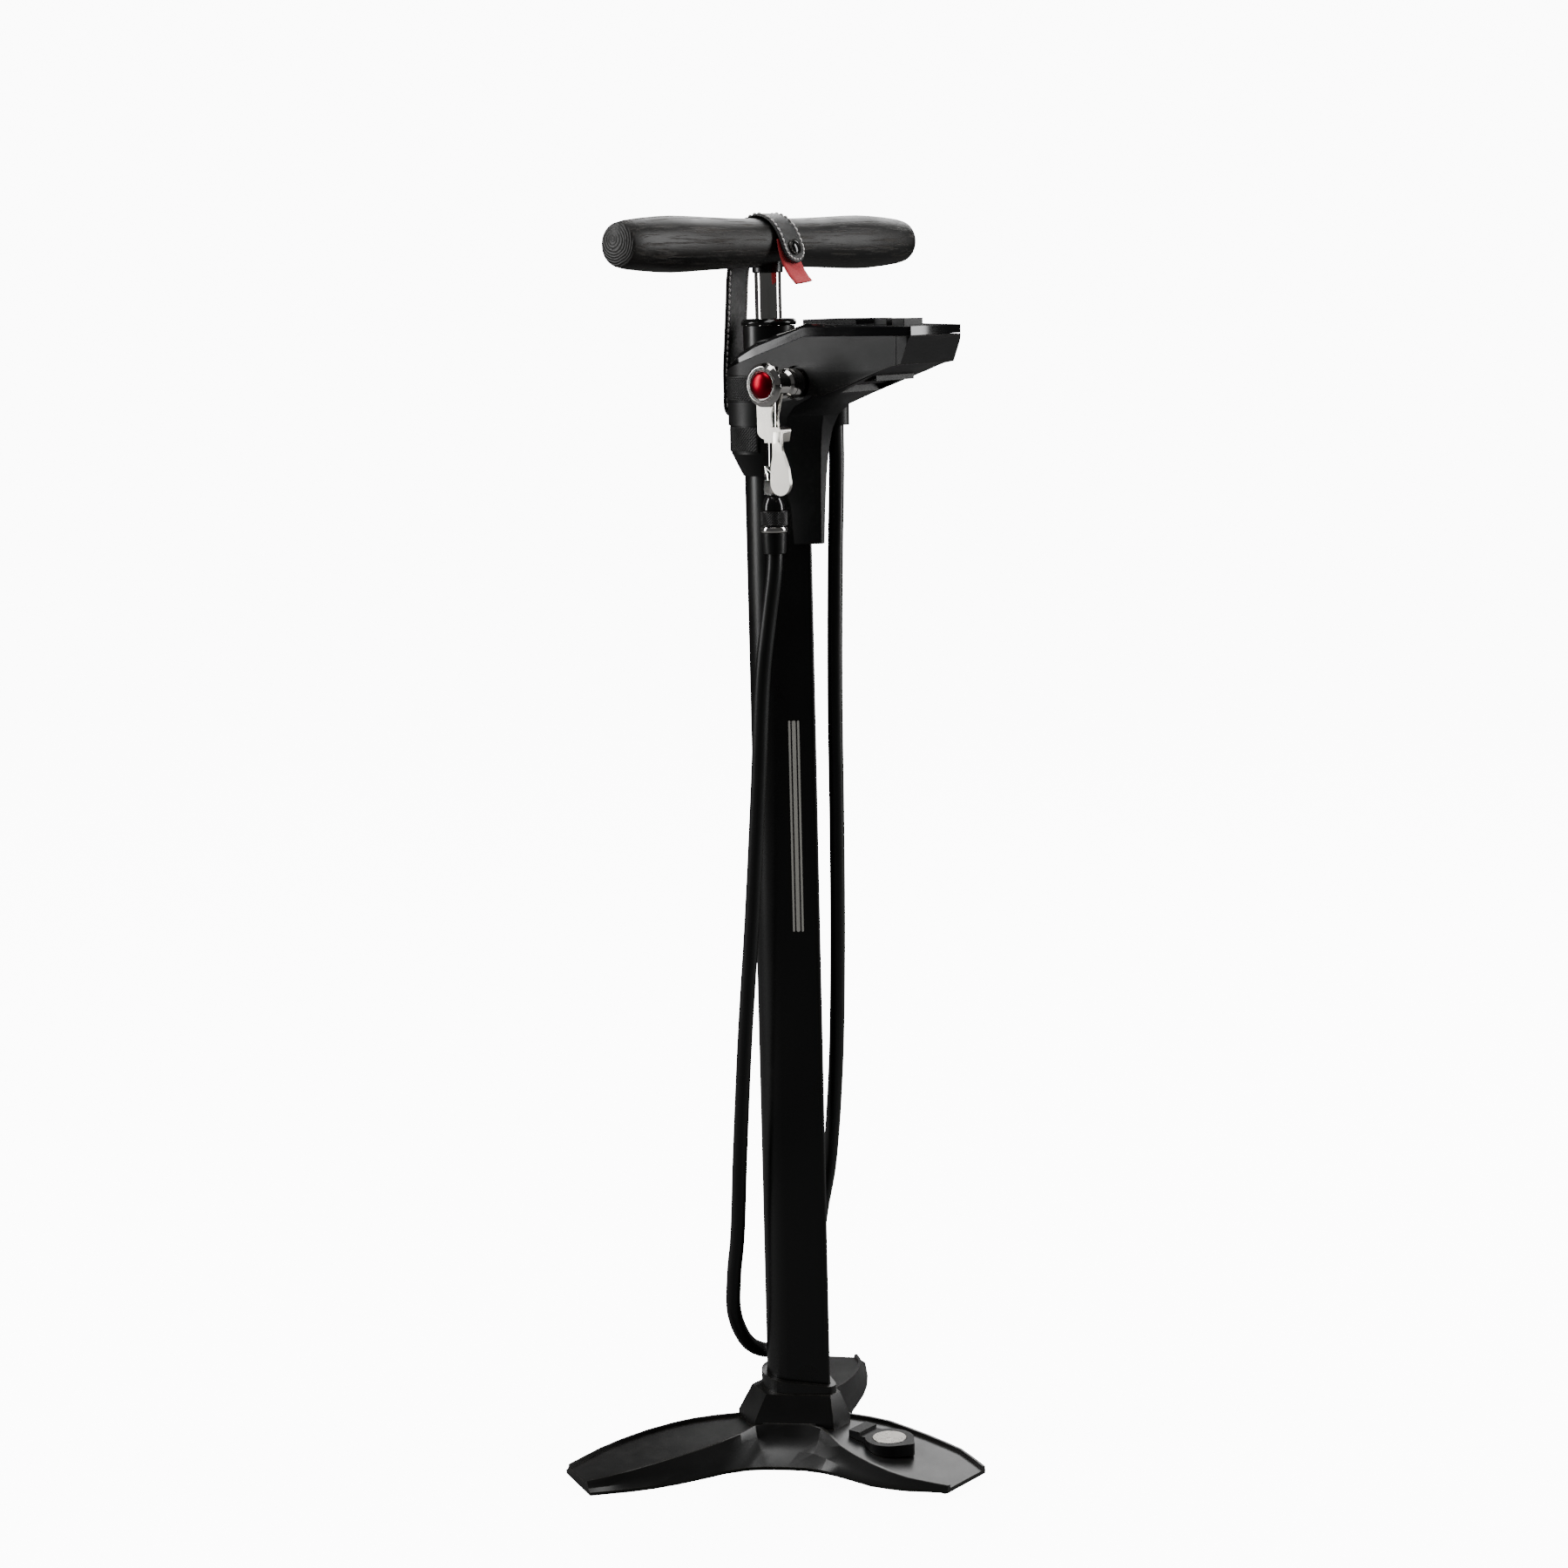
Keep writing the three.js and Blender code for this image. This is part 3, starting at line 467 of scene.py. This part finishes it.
# the thread's two whites are a painted-shade groove tone and a lit ridge tone
threadFinish = wovenBand("whiteThread", (0.8, 0.79, 0.76), (0.95, 0.93, 0.9), 900.0)
printFinish = plasticLike("paleInk", ((0.5, 0.49, 0.45), (0.3, 0.29, 0.27)), (0.4, 0.5),
                          900.0, 0.00001, 0.2)
inkFinish = plasticLike("displayInk", ((0.01, 0.012, 0.01), (0.02, 0.02, 0.02)), (0.3, 0.4),
                        900.0, 0.00001, 0.0)
windowFinish = smokedGlass()
hoseRun.data.materials.append(finishes["hose_rubber"])
print("finishes", len(finishes))

# width of the softened edges in millimetres, by node
edgeWidth = {"base_casting": 0.5, "head_body": 0.5, "gauge_cover": 0.4, "barrel": 0.2}
plainEdge = 0.25
weldReach = 0.000004
slotOf = {entry["node"]: entry["material_slot"] for entry in frame["record"]["subparts"]}
for name, solid in nodes.items():
    mesh = solid.data
    mesh.materials.clear()
    mesh.materials.append(windowFinish if name == "display_window" else finishes[slotOf[name]])
    for key in ("custom_normal", "sharp_face", "sharp_edge"):
        if key in mesh.attributes:
            mesh.attributes.remove(mesh.attributes[key])
    weld = solid.modifiers.new("weld", "WELD")
    weld.merge_threshold = weldReach
    bevel = solid.modifiers.new("softEdge", "BEVEL")
    bevel.width = edgeWidth.get(name, plainEdge) * mm
    bevel.segments = 2
    bevel.limit_method = "ANGLE"
    bevel.angle_limit = math.radians(34)
    bevel.harden_normals = True
    bevel.use_clamp_overlap = True
    mesh.shade_smooth()
print("solids finished", len(nodes))


def addMesh(name, points, faces, material, body, smooth=True):
    data = bpy.data.meshes.new(name)
    data.from_pydata([tuple(p) for p in points], [], faces)
    data.update()
    made = bpy.data.objects.new(name, data)
    bpy.context.scene.collection.objects.link(made)
    shape = bmesh.new()
    shape.from_mesh(data)
    bmesh.ops.recalc_face_normals(shape, faces=shape.faces)
    shape.to_mesh(data)
    shape.free()
    if smooth:
        data.shade_smooth()
    data.materials.append(material)
    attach(made, body)
    return made


def tubeFaces(rows, columns, start=0, capped=True):
    # quads between closed rings of points, with a face at each end
    faces = [(start + i * columns + j, start + i * columns + (j + 1) % columns,
              start + (i + 1) * columns + (j + 1) % columns, start + (i + 1) * columns + j)
             for i in range(rows - 1) for j in range(columns)]
    if capped:
        faces.append(tuple(start + j for j in range(columns)))
        faces.append(tuple(start + (rows - 1) * columns + j for j in reversed(range(columns))))
    return faces


def walk(points, step):
    # evenly spaced (spot, direction) pairs along a polyline
    spots = []
    lengths = [(b - a).length for a, b in zip(points, points[1:])]
    whole = sum(lengths)
    count = max(2, round(whole / step))
    done, i = 0.0, 0
    for k in range(count + 1):
        goal = whole * k / count
        while i < len(lengths) - 1 and done + lengths[i] < goal:
            done += lengths[i]
            i += 1
        way = (points[i + 1] - points[i]).normalized()
        spots.append((points[i] + way * (goal - done), way))
    return spots, whole


def makeRibbon(name, line, width, thick, shiftY, step, material, body, endRound=0.0, rib=None, skew=0.0):
    # flat band along a line in the X-Z plane, thinner at its edges; endRound is the length of a round end
    # rib: how much thicker a rib is, and the ribs' pitch; skew: how far the end is cut on a slant
    spots, whole = walk(line, step)
    outline = [(-1 + k / 4, 1.0 - 0.12 * abs(-1 + k / 4) ** 4) for k in range(9)]
    section = outline + [(1.0, 0.0)] + [(u, -h) for u, h in reversed(outline)] + [(-1.0, 0.0)]
    points = []
    for k, (spot, way) in enumerate(spots):
        along = whole * k / (len(spots) - 1)
        out = Vector((way.z, 0, -way.x))
        half = width / 2
        left = whole - along
        if endRound and left < endRound:
            half *= math.sqrt(max(0.0025, 1 - (1 - left / endRound) ** 2))
        puff = 1 + (rib[0] * abs(math.sin(math.pi * along / rib[1])) if rib else 0)
        for u, h in section:
            side = u * half
            edge = 0.35 if abs(u) > 0.99 and h else 1.0
            tip = skew * side * (1 if k == len(spots) - 1 else along / whole)
            p = spot + Vector((0, shiftY + side, 0)) + out * (h * thick / 2 * puff * edge) + way * tip
            points.append(place(*p))
    made = addMesh(name, points, tubeFaces(len(spots), len(section)), material, body)
    return made, whole


def addStitch(points, faces, spot, way, out, length, radius):
    # one raised thread between two holes
    start = len(points)
    side = way.cross(out)
    for k in range(5):
        u = k / 4
        fat = radius * (0.45 + 0.55 * math.sin(math.pi * u))
        centre = spot + way * (u - 0.5) * length + out * (0.62 * radius * math.sin(math.pi * u) - 0.12)
        for j in range(6):
            t = math.pi * j / 3
            points.append(place(*(centre + side * math.cos(t) * fat + out * math.sin(t) * fat)))
    faces.extend(tubeFaces(5, 6, start))


strap = {
    "width": 20.0, "thick": 2.0, "endRound": 9.0, "stitchInset": 1.9, "stitchPitch": 3.3, "stitchLength": 2.7,
    "stitchRadius": 0.55, "stitchFrom": 9, "innerTo": 88, "endStitches": 9, "endStitchLength": 2.2,
    "route": [(-20.5, 627.5), (-24.2, 627.9), (-26.5, 631), (-26.7, 641), (-26.7, 653), (-25.3, 670),
              (-23.6, 691), (-22.2, 708), (-19.6, 719), (-15.3, 730), (-9, 738.6), (0, 741.8), (8.2, 739.4),
              (14.2, 733.2), (18.2, 725.2), (20.4, 718.6), (21.7, 714.2)],
}


def makeStrap(values):
    stops = [(x, 0, z) for x, z in values["route"]]
    line = smoothRoute(stops, 8)
    band, whole = makeRibbon("keeperStrap", line, values["width"], values["thick"], 0, 1.0,
                             finishes["leather"], "keeper", endRound=values["endRound"])
    points, faces = [], []
    spots, whole = walk(line, values["stitchPitch"])
    track = values["width"] / 2 - values["stitchInset"]
    turnFrom = whole - values["endRound"] - 0.5

    def sew(face, way, out, length):
        addStitch(points, faces, face, way, out, length, values["stitchRadius"])

    for k, (spot, way) in enumerate(spots):
        along = whole * k / (len(spots) - 1)
        out = Vector((-way.z, 0, way.x))
        for side in (-1, 1):
            face = spot + Vector((0, side * track, 0))
            if values["stitchFrom"] < along < turnFrom:
                sew(face + out * values["thick"] / 2, way, out, values["stitchLength"])
            if values["stitchFrom"] < along < values["innerTo"]:
                sew(face - out * values["thick"] / 2, way, -out, values["stitchLength"])
    # the two rows meet round the strap's end
    hub = spot - way * values["endRound"]
    reach = values["endRound"] - values["stitchInset"]
    for n in range(values["endStitches"]):
        t = math.pi * (n + 0.5) / values["endStitches"]
        across = Vector((0, math.cos(t) * track, 0)) + way * math.sin(t) * reach
        tangent = (Vector((0, -math.sin(t) * track, 0)) + way * math.cos(t) * reach).normalized()
        sew(hub + across + out * values["thick"] / 2, tangent, out, values["endStitchLength"])
    thread = addMesh("keeperStitch", points, faces, threadFinish, "keeper")
    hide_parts("strap")
    return whole


tab = {
    "width": 17.8, "thick": 1.0, "shiftY": -0.7, "step": 0.2125, "rib": (0.5, 0.85), "skew": -0.12,
    "route": [(15.0, 728), (15.6, 724), (16.8, 719), (19.2, 713), (22.8, 707.6), (27, 703.2)],
}


def makeTab(values):
    line = smoothRoute([(x, 0, z) for x, z in values["route"]], 8)
    made, whole = makeRibbon("webbingTab", line, values["width"], values["thick"], values["shiftY"],
                             values["step"], finishes["webbing"], "keeper", rib=values["rib"],
                             skew=values["skew"])
    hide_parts("pull_tab")
    return made


pullTab = makeTab(tab)
strapLength = makeStrap(strap)
print("strap", round(strapLength, 1))


def makeKnurl(name, values, body, centre):
    # crossed grooves leave small pyramids standing round a drum
    around = values["radius"] * math.radians(values["to"] - values["from"])
    columns = round(around / values["pitch"] * 4)
    rows = max(4, round((values["high"] - values["low"]) / values["pitch"] * 4))
    closed = values["to"] - values["from"] >= 360
    width = columns if closed else columns + 1
    points, faces = [], []
    for i in range(rows + 1):
        z = values["low"] + (values["high"] - values["low"]) * i / rows
        for j in range(width):
            s = around * j / columns
            a, b = ((s + k * (z - values["low"])) / values["pitch"] for k in (1, -1))
            dip = max(abs(a - round(a)), abs(b - round(b))) * 2
            rise = values["depth"] * (1 - dip)
            if i in (0, rows) or (not closed and j in (0, columns)):
                rise = -values["sunk"]
            t = math.radians(values["from"]) + s / values["radius"]
            r = values["radius"] + rise
            points.append(place(centre[0] + r * math.cos(t), centre[1] + r * math.sin(t), z))
    for i in range(rows):
        for j in range(columns):
            k = (j + 1) % width
            faces.append((i * width + j, i * width + k, (i + 1) * width + k, (i + 1) * width + j))
    made = addMesh(name, points, faces, finishes["head_plastic"], body, smooth=False)


# from and to: degrees round the drum; sunk: how far the rim goes in under the surface
upperKnurl = {"radius": 25.0, "low": 636.5, "high": 650.7, "from": 74, "to": 286, "pitch": 1.9,
              "depth": 0.42, "sunk": 0.15}
lowerKnurl = {"radius": 23.85, "low": 607.3, "high": 621.7, "from": 72, "to": 288, "pitch": 1.9,
              "depth": 0.42, "sunk": 0.15}
ringKnurl = {"radius": 7.45, "low": 568.4, "high": 576.3, "from": 0, "to": 360, "pitch": 1.463,
             "depth": 0.34, "sunk": 0.15}
makeKnurl("knurlUpper", upperKnurl, "stand", (0, 0))
makeKnurl("knurlLower", lowerKnurl, "stand", (0, 0))
stemLow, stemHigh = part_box("chuck_stem")
stemX = (stemLow.x + stemHigh.x) / 2 / mm - boreX / mm
stemY = (stemLow.y + stemHigh.y) / 2 / mm - boreY / mm
makeKnurl("knurlRing", ringKnurl, "stand", (stemX, stemY))
print("knurls")


def roundBar(cx, cy, width, height, corner, steps=5):
    # outline of a bar with round corners
    spots = []
    for sx, sy, turn in ((1, 1, 0), (-1, 1, 90), (-1, -1, 180), (1, -1, 270)):
        for k in range(steps + 1):
            t = math.radians(turn + 90 * k / steps)
            spots.append((cx + sx * (width / 2 - corner) + corner * math.cos(t),
                          cy + sy * (height / 2 - corner) + corner * math.sin(t)))
    return spots


flank = {"from": (8.73, -13.41), "to": (26.5, -1.84), "lift": 0.05,
         "bars": [(-2.6, 387.5, 1.2, 126), (0, 387.5, 2.2, 126), (2.6, 387.5, 1.2, 126)]}


def makeFlankBars(values):
    # three plain printed stripes on the barrel's flat flank
    start, end = Vector((*values["from"], 0)), Vector((*values["to"], 0))
    along = (end - start).normalized()
    out = Vector((along.y, -along.x, 0)) * values["lift"]
    middle = (start + end) / 2
    points, faces = [], []
    for offset, z, width, height in values["bars"]:
        ring = roundBar(offset, z, width, height, width * 0.45)
        faces.append(tuple(range(len(points), len(points) + len(ring))))
        points += [place(*(middle + along * u + out + Vector((0, 0, v)))) for u, v in ring]
    addMesh("flankStripes", points, faces, printFinish, "stand", smooth=False)


makeFlankBars(flank)

panelLow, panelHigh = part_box("display_panel")
segments = {
    "width": 5.2, "height": 9.0, "line": 0.9, "gap": 0.35, "rowY": -1.5, "digitsX": (-9.5, -1.5, 8.5),
    "pointX": 3.4, "point": 1.2, "scaleY": 7.6, "scaleFrom": -12.5, "scalePitch": 2.5,
    "scaleMark": (1.6, 1.3), "scaleMarks": 11, "lift": 0.00004,
}


def makeDigits(values):
    # three noughts in seven-bar numbers over a row of marks, read from the rear of the pump
    w, h, t, g = values["width"], values["height"], values["line"], values["gap"]
    flat, tall = w - t - g, h / 2 - t - g
    bars = [(0, h / 2, flat, t), (w / 2, h / 4, t, tall), (w / 2, -h / 4, t, tall), (0, -h / 2, flat, t),
            (-w / 2, -h / 4, t, tall), (-w / 2, h / 4, t, tall)]
    centre = (panelLow + panelHigh) / 2
    level = panelHigh.z + values["lift"]
    points, faces = [], []

    def stamp(x, y, width, height):
        ring = roundBar(x, y, width, height, 0.2, 2)
        faces.append(tuple(range(len(points), len(points) + len(ring))))
        points.extend(Vector((centre.x + v * mm, centre.y - u * mm, level)) for u, v in ring)

    for x in values["digitsX"]:
        for bx, by, width, height in bars:
            stamp(x + bx, by + values["rowY"], width, height)
    stamp(values["pointX"], values["rowY"] - h / 2, values["point"], values["point"])
    for n in range(values["scaleMarks"]):
        stamp(values["scaleFrom"] + values["scalePitch"] * n, values["scaleY"], *values["scaleMark"])
    addMesh("displayDigits", points, faces, inkFinish, "stand", smooth=False)


makeDigits(segments)


icon = {"outer": 2.3, "inner": 1.75, "turns": 28, "from": 115, "sweep": 310, "rows": (-1.5, 0, 1.5),
        "bar": (0.6, 4.2, 0.28), "rise": 0.12, "sunk": 0.02}


def makeIcon(name, node, body, kind, values):
    # a raised mark on the key's face
    low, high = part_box(node)
    centre = (low + high) / 2
    points, faces = [], []
    if kind == "ring":
        inner, outer, rise = values["inner"], values["outer"], values["rise"]
        for k in range(values["turns"]):
            t = math.radians(values["from"] + values["sweep"] * k / (values["turns"] - 1))
            for r, z in ((inner, 0.0), (inner, rise), (outer, rise), (outer, 0.0)):
                points.append((centre.x + r * math.sin(t) * mm, centre.y + r * math.cos(t) * mm,
                               high.z + (z - values["sunk"]) * mm))
        faces = tubeFaces(values["turns"], 4)
    else:
        for row in values["rows"]:
            start = len(points)
            ring = roundBar(row, 0, *values["bar"], 3)
            for z in (-values["sunk"], values["rise"]):
                points += [(centre.x + u * mm, centre.y + v * mm, high.z + z * mm) for u, v in ring]
            faces += tubeFaces(2, len(ring), start)
    addMesh(name, points, faces, printFinish, body, smooth=False)


makeIcon("modeMark", "button_mode", "mode_key", "bars", icon)
makeIcon("powerMark", "button_power", "power_key", "ring", icon)
print("print and marks")

studio = {"floorTone": 0.8, "bounceTone": 0.12, "floorGlow": 11.0, "backdropGlow": 11.0, "skyStrength": 0.06}


def makeStudio(values):
    bpy.ops.mesh.primitive_plane_add(size=60, location=(0, 0, 0))
    floor = bpy.context.object
    floor.name = "floorPlane"
    material, tree, shader = newMaterial("paleFloor", Roughness=0.8)
    texture = groupNode(tree, fineGrain, {"Scale": 40.0})
    tone = values["floorTone"]
    pale = mixColor(tree, texture.outputs["Spots"], (*[tone] * 3, 1), (*[tone * 1.02] * 3, 1))
    # the sweep reads white where it is seen directly, and throws little light back
    seen = addNode(tree, "ShaderNodeLightPath").outputs["Is Camera Ray"]
    bounce = values["bounceTone"]
    tree.links.new(mixColor(tree, seen, (bounce, bounce, bounce, 1), pale), shader.inputs["Base Color"])
    shader.inputs["Emission Color"].default_value = (1, 1, 1, 1)
    tree.links.new(maths(tree, "MULTIPLY", seen, values["floorGlow"]), shader.inputs["Emission Strength"])
    floor.data.materials.append(material)
    world = bpy.data.worlds.new("studioWorld")
    bpy.context.scene.world = world
    world.use_nodes = True
    tree = world.node_tree
    sky = tree.nodes["Background"]
    sky.inputs[0].default_value = (1, 1, 1, 1)
    seen = addNode(tree, "ShaderNodeLightPath").outputs["Is Camera Ray"]
    lift = values["backdropGlow"] - values["skyStrength"]
    strength = maths(tree, "ADD", maths(tree, "MULTIPLY", seen, lift), values["skyStrength"])
    tree.links.new(strength, sky.inputs["Strength"])


def addSoftbox(name, azimuth, elevation, distance, width, height, power):
    data = bpy.data.lights.new(name, "AREA")
    data.shape = "RECTANGLE"
    data.size, data.size_y, data.energy = width, height, power
    lamp = bpy.data.objects.new(name, data)
    bpy.context.scene.collection.objects.link(lamp)
    a, e = math.radians(azimuth - 90), math.radians(elevation)
    aim = Vector((boreX, boreY, 0.4))
    toward = Vector((math.cos(a) * math.cos(e), math.sin(a) * math.cos(e), math.sin(e)))
    lamp.location = aim + distance * toward
    lamp.rotation_euler = (aim - lamp.location).to_track_quat("-Z", "Y").to_euler()
    lamp.visible_camera = False


makeStudio(studio)
facing = camera["azimuth"]
# azimuth, elevation, distance, width, height, power
softboxes = {
    "keyBox": (facing - 84, 22, 2.2, 0.55, 1.9, 40), "rimBox": (facing + 92, 20, 2.2, 0.55, 1.9, 44),
    "topBox": (facing - 20, 76, 2.0, 1.2, 1.2, 20), "rearBox": (facing + 165, 35, 2.4, 1.2, 1.4, 30),
}
for label, numbers in softboxes.items():
    addSoftbox(label, *numbers)
print("studio lit")

bpy.context.view_layer.update()
